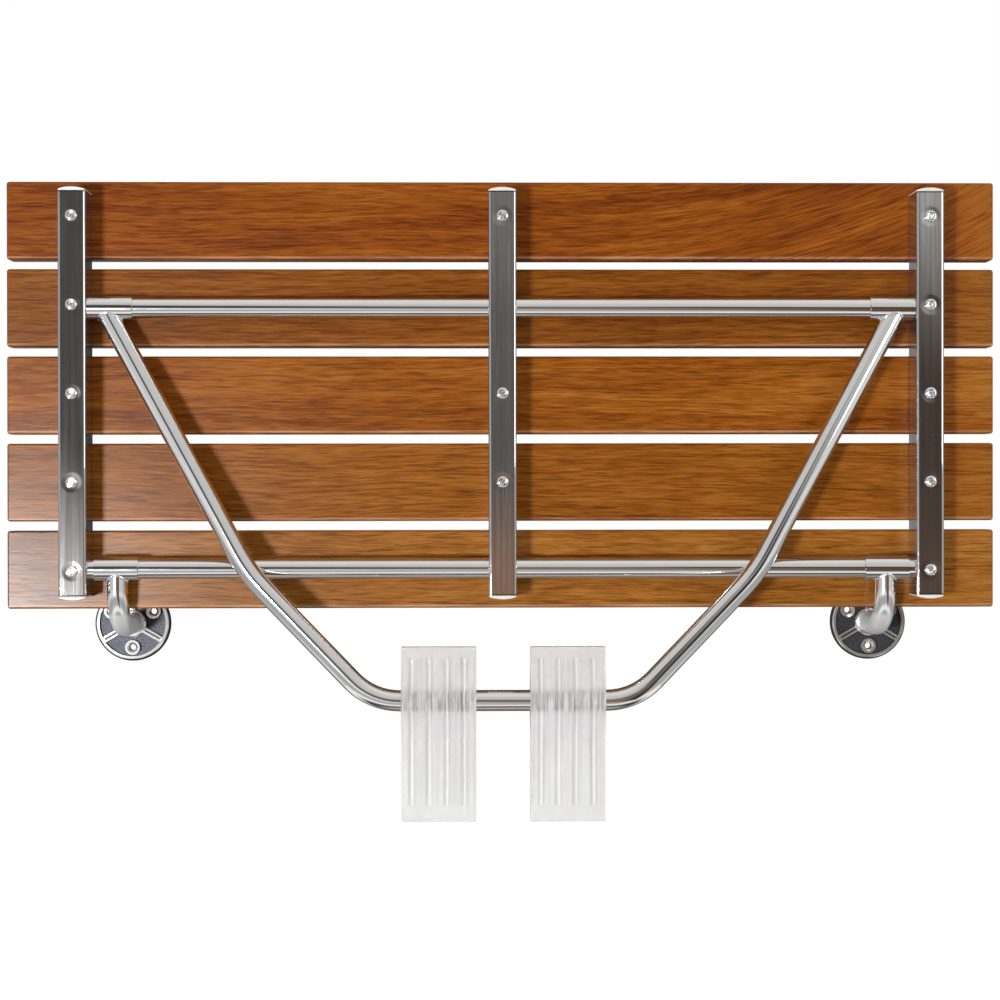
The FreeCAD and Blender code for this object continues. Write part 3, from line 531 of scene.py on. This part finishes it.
SLATS = {
    1: dict(
        dark=srgb(104, 44, 2), middle_tone=srgb(140, 70, 10), light=srgb(164, 96, 26),
        right_end=0.14, band=(0.403, 0.11, 0.013), sweep=(0.05, 0.6),
    ),
    2: dict(
        dark=srgb(96, 46, 4), middle_tone=srgb(132, 72, 14), light=srgb(156, 96, 30),
        right_end=0.13,
    ),
    3: dict(
        dark=srgb(112, 54, 4), middle_tone=srgb(149, 81, 14), light=srgb(172, 108, 38),
        right_end=0.09, band=(0.214, 0.0, 0.012),
    ),
    4: dict(
        dark=srgb(106, 54, 6), middle_tone=srgb(144, 82, 16), light=srgb(166, 104, 38),
        right_end=0.06,
    ),
    5: dict(
        dark=srgb(112, 60, 10), middle_tone=srgb(156, 96, 32), light=srgb(178, 120, 54),
        right_end=0.05, left_end=-0.16,
    ),
}
for row, wood in SLATS.items():
    finish_with(teak("teak_%d" % row, row, **wood), "slat_%d" % row)

finish_with(
    polished("polished_tube", along=(14.0, 1.0, 1.0)),
    "strut_pivot_tube", "seat_hinge_tube", "hinge_sleeve_left", "hinge_sleeve_right",
    "strut_sleeve_left", "strut_sleeve_right",
)
finish_with(polished("strut_steel", scratch=0.003 * MM), "strut_tube")
arm_steel = polished("arm_steel", rough=0.06, scratch=0.006 * MM, satin=36.0 * MM)
finish_with(arm_steel, "wall_arm_left", "wall_arm_right")
for bar in BAR_ROWS:
    finish_with(dimpled_bar("bar_steel_" + bar, bar), "cross_bar_" + bar)
for side in SIDES:
    finish_with(cast_flange("cast_flange_" + side, "wall_flange_" + side), "wall_flange_" + side)
    finish_with(vinyl("vinyl_" + side, "wall_pad_" + side), "wall_pad_" + side)


# Screws

HEAD_RINGS = 18
HEAD_STEPS = 48
# sizes in millimetres: an edge is where its slope starts and ends
CROSS_LENGTH_EDGE = (1.7, 2.4)
CROSS_WIDTH_EDGE = (0.4, 0.8)
CROSS_DEPTH = 1.5
DISH_EDGE = (2.5, 3.6)
DISH_DEPTH = 0.35
HEAD_RIM = 0.35
SHANK_RADIUS = 2.4
TIP_RADIUS = 0.48
TIP_ROOM = 0.1
TURN_BY_ROW, TURN_BY_PLACE = 1.9, 8.0


def soft_step(value, low, high):
    share = min(max((value - low) / (high - low), 0.0), 1.0)
    return share * share * (3.0 - 2.0 * share)


def within(value, edge):
    return 1.0 - soft_step(abs(value), *edge)


def recess_depth(u, v):
    """How deep the head is let in at a point, in millimetres from its middle: a cross in a dish."""
    along_u = within(u, CROSS_LENGTH_EDGE) * within(v, CROSS_WIDTH_EDGE)
    along_v = within(v, CROSS_LENGTH_EDGE) * within(u, CROSS_WIDTH_EDGE)
    dish = within(math.hypot(u, v), DISH_EDGE)
    return CROSS_DEPTH * max(along_u, along_v) + DISH_DEPTH * dish


def add_ring(mesh, centre, radius, turn, height_at):
    """A ring of points round the screw's axis. height_at gives each one's height over the bar."""
    ring = []
    for step in range(HEAD_STEPS):
        angle = 2.0 * math.pi * step / HEAD_STEPS
        u, v = radius * math.cos(angle), radius * math.sin(angle)
        across = u * math.cos(turn) - v * math.sin(turn)
        up = u * math.sin(turn) + v * math.cos(turn)
        ring.append(mesh.verts.new(centre + Vector((across, -height_at(u, v), up)) * MM))
    return ring


def add_screw(mesh, centre, radius, crown, length, turn):
    """A pan head screw that points along +Y, with its head's underside at centre. Sizes in mm."""
    rim = HEAD_RIM * crown
    rings = []
    for index in range(1, HEAD_RINGS + 1):
        share = index / HEAD_RINGS

        def dome(u, v, share=share):
            return rim + (crown - rim) * math.sqrt(1.0 - share ** 3.0) - recess_depth(u, v)

        rings.append(add_ring(mesh, centre, radius * share, turn, dome))
    outline = (
        (radius, 0.0),
        (SHANK_RADIUS, 0.0),
        (SHANK_RADIUS, -length),
        (TIP_RADIUS, -length - SHANK_RADIUS),
    )
    for across, height in outline:
        rings.append(add_ring(mesh, centre, across, turn, lambda u, v, height=height: height))
    top = mesh.verts.new(centre + Vector((0.0, -(crown - recess_depth(0.0, 0.0)), 0.0)) * MM)
    for step in range(HEAD_STEPS):
        following = (step + 1) % HEAD_STEPS
        mesh.faces.new((top, rings[0][step], rings[0][following]))
        for inner, outer in zip(rings, rings[1:]):
            mesh.faces.new((inner[step], outer[step], outer[following], inner[following]))
    mesh.faces.new(list(reversed(rings[-1])))


def new_piece(name, mesh, made, body):
    """A smooth piece from a bmesh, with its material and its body."""
    data = bpy.data.meshes.new(name)
    bmesh.ops.recalc_face_normals(mesh, faces=mesh.faces)
    mesh.to_mesh(data)
    mesh.free()
    data.materials.append(made)
    for face in data.polygons:
        face.use_smooth = True
    piece = bpy.data.objects.new(name, data)
    bpy.context.scene.collection.objects.link(piece)
    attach(piece, body)
    return piece


def slat_screws(bar, made):
    """The screws of one bar, each turned as it happened to stop."""
    low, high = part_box("slat_screws_" + bar)
    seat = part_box("cross_bar_" + bar)[0][1]
    x = middle("cross_bar_" + bar).x
    mesh = bmesh.new()
    radius = (high[0] - low[0]) / 2 / MM
    crown = (seat - low[1]) / MM
    length = (high[1] - seat) / MM - SHANK_RADIUS - TIP_ROOM
    for row in BAR_ROWS[bar]:
        turn = TURN_BY_ROW * row + TURN_BY_PLACE * x
        add_screw(mesh, Vector((x, seat, ROW_HEIGHTS[row])), radius, crown, length, turn)
    piece = new_piece("screws_" + bar, mesh, made, "seat")
    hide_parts("slat_screws_" + bar)


screw_steel = polished("screw_steel", rough=0.07, scratch=0.008 * MM)
for bar in BAR_ROWS:
    slat_screws(bar, screw_steel)


# Caps

CAP_CORNER = 2.5 * MM
LEAST_CORNER = 0.3 * MM
CAP_CROWN = 2.2 * MM
CAP_JOINT = 0.35 * MM
JOINT_SLOPE = 1.4
CAP_ROUND = 0.8 * MM
ROUND_SHARES = (0.0, 0.1, 0.25, 0.45, 0.7, 1.0)
TOP_INSETS = (2.4 * MM, 5.0 * MM, 9.0 * MM, 12.0 * MM)
SPIGOT_INSET = 1.9 * MM
CORNER_STEPS = 8
SIDE_STEPS = 16


def rounded_outline(half_x, half_y, corner):
    """Points round a rectangle with round corners, with more points along its sides."""
    outline = []
    turns = ((1, 1), (-1, 1), (-1, -1), (1, -1))
    for quarter, (sign_x, sign_y) in enumerate(turns):
        centre = Vector((sign_x * (half_x - corner), sign_y * (half_y - corner)))
        for step in range(CORNER_STEPS + 1):
            angle = math.pi / 2 * (quarter + step / CORNER_STEPS)
            outline.append(centre + corner * Vector((math.cos(angle), math.sin(angle))))
        next_x, next_y = turns[(quarter + 1) % 4]
        reached = outline[-1]
        following = Vector((next_x * (half_x - corner), next_y * (half_y - corner)))
        angle = math.pi / 2 * (quarter + 1)
        following += corner * Vector((math.cos(angle), math.sin(angle)))
        for step in range(1, SIDE_STEPS):
            outline.append(reached.lerp(following, step / SIDE_STEPS))
    return outline


def end_cap(name, up, made):
    """A cap arched from side to side, with a rounded rim, a fine joint and its spigot in the bar."""
    low, high = (Vector(corner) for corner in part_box("bar_cap_" + name))
    centre = (low + high) / 2
    half = (high - low) / 2
    bar_low, bar_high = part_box("cross_bar_" + name.split("_")[0])
    base = bar_high[2] if up > 0 else bar_low[2]
    tip = high[2] if up > 0 else low[2]
    inner = low[2] if up > 0 else high[2]
    edge = abs(tip - base) - CAP_CROWN
    mesh = bmesh.new()

    def ring(inset, height_at):
        corner = max(CAP_CORNER - inset, LEAST_CORNER)
        outline = rounded_outline(half.x - inset, half.y - inset, corner)
        return [mesh.verts.new((centre.x + p.x, centre.y + p.y, height_at(p.x))) for p in outline]

    def arch(drop):
        return lambda x: base + up * (edge + CAP_CROWN * (1.0 - (x / half.x) ** 2) - drop)

    rings = [
        ring(SPIGOT_INSET, lambda x: inner),
        ring(SPIGOT_INSET, lambda x: base),
        ring(CAP_JOINT, lambda x: base),
        ring(CAP_JOINT, lambda x: base + up * CAP_JOINT),
        ring(0.0, lambda x: base + up * JOINT_SLOPE * CAP_JOINT),
    ]
    for share in ROUND_SHARES:
        drop = CAP_ROUND * (1.0 - math.sqrt(1.0 - (1.0 - share) ** 2))
        rings.append(ring(share * CAP_ROUND, arch(drop)))
    for inset in TOP_INSETS:
        rings.append(ring(inset, arch(0.0)))
    for lower, upper in zip(rings, rings[1:]):
        for step in range(len(lower)):
            following = (step + 1) % len(lower)
            mesh.faces.new((lower[step], lower[following], upper[following], upper[step]))
    mesh.faces.new(list(reversed(rings[0])))
    mesh.faces.new(rings[-1])
    piece = new_piece("cap_" + name, mesh, made, "seat")
    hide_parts("bar_cap_" + name)


cap_plastic = plastic("cap_plastic", (0.90, 0.87, 0.81))
for bar in BAR_ROWS:
    end_cap(bar + "_upper", 1, cap_plastic)
    end_cap(bar + "_lower", -1, cap_plastic)


# Weld beads

BEAD_POINTS = 72
BEAD_RADIUS = 1.2 * MM
BEAD_ROUNDNESS = 3
BEAD_RIPPLES = ((0.12, 9.0), (0.10, 23.0))
TUBE_SPACING = 238.0 * MM
# the strut rests on the rear tube, so their middles are two radii and a small gap apart
RESTING_DISTANCE = 19.3 * MM
STRUT_LEAN = math.asin(RESTING_DISTANCE / TUBE_SPACING)
# the strut's knee: how far inward from its sleeve, and how far down from the front tube
KNEE_INSET = 127.2 * MM
KNEE_DROP = 242.4 * MM


def weld_bead(name, sleeve, body, made, along, front):
    """A bead where a pipe that runs off in a direction meets a sleeve.

    front is at right angles to the pipe and to the sleeve.
    """
    low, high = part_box(sleeve)
    sleeve_radius = (high[2] - low[2]) / 2
    axis = middle(sleeve)
    down = front.cross(Vector((1.0, 0.0, 0.0))).normalized()
    if down.dot(along) < 0:
        down.negate()
    side = along.cross(front).normalized()
    start = axis + down * sleeve_radius
    curve = bpy.data.curves.new(name, "CURVE")
    curve.dimensions = "3D"
    curve.bevel_depth = BEAD_RADIUS
    curve.bevel_resolution = BEAD_ROUNDNESS
    spline = curve.splines.new("POLY")
    spline.points.add(BEAD_POINTS - 1)
    spline.use_cyclic_u = True
    for index, point in enumerate(spline.points):
        angle = 2.0 * math.pi * index / BEAD_POINTS
        across = side * PIPE_RADIUS * math.cos(angle) + front * PIPE_RADIUS * math.sin(angle)
        sag = math.sqrt(sleeve_radius ** 2 - across.dot(front) ** 2)
        run = (sag - sleeve_radius - across.dot(down)) / along.dot(down)
        point.co = (*(start + across + along * run), 1.0)
        point.radius = 1.0 + sum(size * math.sin(waves * angle) for size, waves in BEAD_RIPPLES)
    curve.materials.append(made)
    piece = bpy.data.objects.new(name, curve)
    bpy.context.scene.collection.objects.link(piece)
    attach(piece, body)


weld_steel = polished("weld_steel", rough=0.16, scratch=0.03 * MM)
STRUT_DOWN = Vector((0.0, -math.sin(STRUT_LEAN), -math.cos(STRUT_LEAN)))
STRUT_FRONT = Vector((0.0, -math.cos(STRUT_LEAN), math.sin(STRUT_LEAN)))
DOWN = Vector((0.0, 0.0, -1.0))
TO_ROOM = Vector((0.0, -1.0, 0.0))
for side, sign in SIDES.items():
    leg = Vector((-sign * KNEE_INSET, 0.0, 0.0)) + STRUT_DOWN * (KNEE_DROP - PIPE_RADIUS)
    leg.normalize()
    weld_bead("strut_weld_" + side, "strut_sleeve_" + side, "strut", weld_steel, leg, STRUT_FRONT)
    weld_bead("arm_weld_" + side, "hinge_sleeve_" + side, "wall_brackets", weld_steel, DOWN, TO_ROOM)


# Studio

FLOOR_Z = -0.372
WHITE = (1.0, 1.0, 1.0, 1.0)
BLACK = (0.0, 0.0, 0.0)
ROOM_BY_HEIGHT = (
    (0.000, (0.50, 0.47, 0.44)),
    (0.010, (0.45, 0.42, 0.40)),
    (0.030, (0.09, 0.08, 0.07)),
    (0.055, (0.06, 0.05, 0.05)),
    (0.085, (0.60, 0.59, 0.58)),
    (0.110, (1.00, 1.00, 1.00)),
    (0.150, (1.00, 1.00, 1.00)),
    (0.195, (0.48, 0.48, 0.49)),
    (0.310, (0.44, 0.44, 0.45)),
    (0.390, (0.95, 0.95, 0.95)),
    (0.450, (0.70, 0.70, 0.70)),
    (0.600, (0.58, 0.58, 0.59)),
    (0.760, (0.64, 0.64, 0.64)),
    (0.850, (0.68, 0.67, 0.66)),
    (0.960, (0.85, 0.83, 0.81)),
    (1.000, (0.78, 0.74, 0.70)),
)
SHADE_BY_SIDE = (
    (0.300, (0.060, 0.060, 0.060)),
    (0.375, (0.055, 0.055, 0.055)),
    (0.420, (0.075, 0.074, 0.073)),
    (0.470, (0.120, 0.118, 0.116)),
    (0.530, (0.120, 0.112, 0.104)),
    (0.570, (0.060, 0.045, 0.035)),
    (0.630, (0.050, 0.028, 0.014)),
    (0.700, (0.020, 0.014, 0.010)),
)
SHADE_BELOW = (0.34, 0.20, 0.125)
BEHIND_DARK, BEHIND_PALE = (0.06, 0.06, 0.06), (0.30, 0.28, 0.27)
# the dark band's edges: slope, height straight ahead, and how they bend past a place on each side
LOWER_EDGE = (-0.975, -0.246)
UPPER_EDGE = (-0.587, 0.313)
LEFT_PLACE, RIGHT_PLACE = -0.255, 0.1
LOWER_RIGHT_BEND, LOWER_LEFT_BEND = 0.25, -2.5
UPPER_RIGHT_BEND, UPPER_LEFT_BEND = 0.12, 1.3
BAND_BLUR = 0.055
BAND_MIDDLE = (-0.2, 0.05, 0.08, 0.14)
BAND_END = (0.50, 0.36)
# the upper edge's fade: how much the middle of the band adds to each of its limits, and the limits
UPPER_LIMIT, LOWER_LIMIT = (0.04, 0.08), (-0.17, -0.08)
ROOM_SIDES, SIDE_LIGHT = (0.6, 1.0), (1.0, 0.85)
BELOW_HEIGHT, BELOW_SIDE = (0.02, -0.06), (0.34, 0.05)
FRONT_EDGE = (-0.25, -0.7)
BACK_EDGE = (0.35, 0.75)
PALE_HEIGHT, PALE_SIDE = (0.45, 0.25), (0.0, -0.2)


def shown_rays(tree):
    """1 for rays of the camera or through clear plastic, and 1 for those that metal mirrors."""
    path = node(tree, "ShaderNodeLightPath")
    seen = maths(tree, "MAXIMUM", path.outputs["Is Camera Ray"], path.outputs["Is Transmission Ray"])
    return seen, path.outputs["Is Glossy Ray"]


def dark_band(tree, x, z):
    """A slanting band round the camera, from 0 to 1, by the direction's parts to the right and up."""
    over = maths(tree, "SUBTRACT", z, maths(tree, "MULTIPLY_ADD", x, *LOWER_EDGE))
    under = maths(tree, "SUBTRACT", z, maths(tree, "MULTIPLY_ADD", x, *UPPER_EDGE))
    past_middle = maths(tree, "MAXIMUM", x, 0.0)
    past_left = maths(tree, "MAXIMUM", maths(tree, "SUBTRACT", LEFT_PLACE, x), 0.0)
    past_right = maths(tree, "MAXIMUM", maths(tree, "SUBTRACT", x, RIGHT_PLACE), 0.0)
    over = added(tree, past_middle, LOWER_RIGHT_BEND, over)
    over = added(tree, past_left, LOWER_LEFT_BEND, over)
    under = added(tree, past_left, UPPER_LEFT_BEND, under)
    under = added(tree, past_right, UPPER_RIGHT_BEND, under)
    soft = plateau(tree, x, *BAND_MIDDLE)
    limits = (added(tree, soft, *UPPER_LIMIT), added(tree, soft, *LOWER_LIMIT))
    fade = between(tree, under, *limits)
    band = maths(tree, "MULTIPLY", between(tree, over, -BAND_BLUR, BAND_BLUR), fade)
    return maths(tree, "MULTIPLY", band, between(tree, x, *BAND_END))


def light_world(plain=0.32):
    """White for the camera and through clear pieces.

    Metal sees a room that is darker at its sides, behind the seat, and in a slanting band round
    the camera.
    """
    world = bpy.data.worlds.new("studio")
    bpy.context.scene.world = world
    world.use_nodes = True
    tree = world.node_tree
    tree.nodes.clear()
    x, y, z = parts(tree, node(tree, "ShaderNodeTexCoord").outputs["Generated"])
    aside = maths(tree, "ABSOLUTE", x)
    room = ramp(tree, added(tree, z, 0.5, 0.5), ROOM_BY_HEIGHT)
    room = mixed(tree, between(tree, aside, *ROOM_SIDES, *SIDE_LIGHT), BLACK, room)
    shade = ramp(tree, added(tree, x, 0.5, 0.5), SHADE_BY_SIDE)
    low = between(tree, z, *BELOW_HEIGHT)
    below = maths(tree, "MULTIPLY", low, between(tree, aside, *BELOW_SIDE))
    shade = mixed(tree, below, shade, SHADE_BELOW)
    front = between(tree, y, *FRONT_EDGE)
    studio = mixed(tree, maths(tree, "MULTIPLY", dark_band(tree, x, z), front), room, shade)
    level = between(tree, maths(tree, "ABSOLUTE", z), *PALE_HEIGHT)
    pale = maths(tree, "MULTIPLY", between(tree, x, *PALE_SIDE), level)
    behind = mixed(tree, pale, BEHIND_DARK, BEHIND_PALE)
    studio = mixed(tree, between(tree, y, *BACK_EDGE), studio, behind)
    seen, glossy = shown_rays(tree)
    lights = [
        node(tree, "ShaderNodeBackground", {"Color": colour, "Strength": strength}).outputs[0]
        for colour, strength in ((WHITE, plain), (studio, 1.0), (WHITE, 1.0))
    ]
    unseen = node(tree, "ShaderNodeMixShader", {0: glossy, 1: lights[0], 2: lights[1]})
    both = node(tree, "ShaderNodeMixShader", {0: seen, 1: unseen.outputs[0], 2: lights[2]})
    out = tree.nodes.new("ShaderNodeOutputWorld")
    tree.links.new(both.outputs[0], out.inputs["Surface"])


def lay_floor(half=9.0, glow_level=0.85, grey=0.5):
    """A pale floor at the height it has under a mounted seat. It shows white and keeps shadows."""
    mesh = bpy.data.meshes.new("floor")
    turns = ((-1, -1), (1, -1), (1, 1), (-1, 1))
    corners = [(half * along, half * out, FLOOR_Z) for along, out in turns]
    mesh.from_pydata(corners, [], [(0, 1, 2, 3)])
    floor = bpy.data.objects.new("floor", mesh)
    floor.visible_glossy = False
    bpy.context.scene.collection.objects.link(floor)
    made = bpy.data.materials.new("floor")
    made.use_nodes = True
    tree = made.node_tree
    tree.nodes.clear()
    seen, _ = shown_rays(tree)
    glow = node(tree, "ShaderNodeEmission", {"Color": WHITE})
    link(tree, maths(tree, "MULTIPLY", seen, glow_level), glow.inputs["Strength"])
    matt = node(tree, "ShaderNodeBsdfDiffuse", {"Color": (grey, grey, grey, 1.0)})
    both = node(tree, "ShaderNodeAddShader", {0: glow.outputs[0], 1: matt.outputs[0]})
    out = tree.nodes.new("ShaderNodeOutputMaterial")
    tree.links.new(both.outputs[0], out.inputs["Surface"])
    mesh.materials.append(made)


LAMP_AIM = (0.0, -0.05, 0.2)


def lamp(name, at, size, watts, mirrored=True, lights=True):
    """A soft rectangular light at a point, aimed at the seat. It is mirrored, or lights, or both."""
    light = bpy.data.lights.new(name, "AREA")
    light.shape = "RECTANGLE"
    light.size, light.size_y = size
    light.energy = watts
    made = bpy.data.objects.new(name, light)
    made.location = at
    made.rotation_euler = (Vector(LAMP_AIM) - Vector(at)).to_track_quat("-Z", "Y").to_euler()
    made.visible_glossy = mirrored
    made.visible_diffuse = lights
    bpy.context.scene.collection.objects.link(made)


SENSOR = 36.0
PICTURE_WIDTH = 1000.0
FOCAL_PIXELS = 1668.2
CAMERA_AT = (-0.0244, -1.6012, 0.1475)
CAMERA_TURN = (90.0 - 0.263, 0.07, -0.827)


def set_camera():
    """The photograph's camera: its place, turn and lens are fitted to points on the picture."""
    lens = bpy.data.cameras.new("camera")
    lens.sensor_width = SENSOR
    lens.lens = SENSOR * FOCAL_PIXELS / PICTURE_WIDTH
    camera = bpy.data.objects.new("camera", lens)
    camera.location = CAMERA_AT
    camera.rotation_euler = [math.radians(degrees) for degrees in CAMERA_TURN]
    bpy.context.scene.collection.objects.link(camera)
    bpy.context.scene.camera = camera


light_world()
lay_floor()
lamp("key", (-1.22, -2.4, -0.224), (0.38, 0.28), 45.0)
lamp("sheen", (-1.22, -2.41, -0.224), (0.38, 0.28), 48.0, lights=False)
lamp("right", (1.6, -1.6, 0.6), (0.8, 0.8), 10.0)
lamp("top", (0.0, -0.9, 1.7), (1.6, 0.8), 3.0, mirrored=False)
set_camera()
bpy.context.scene.view_settings.view_transform = "Standard"
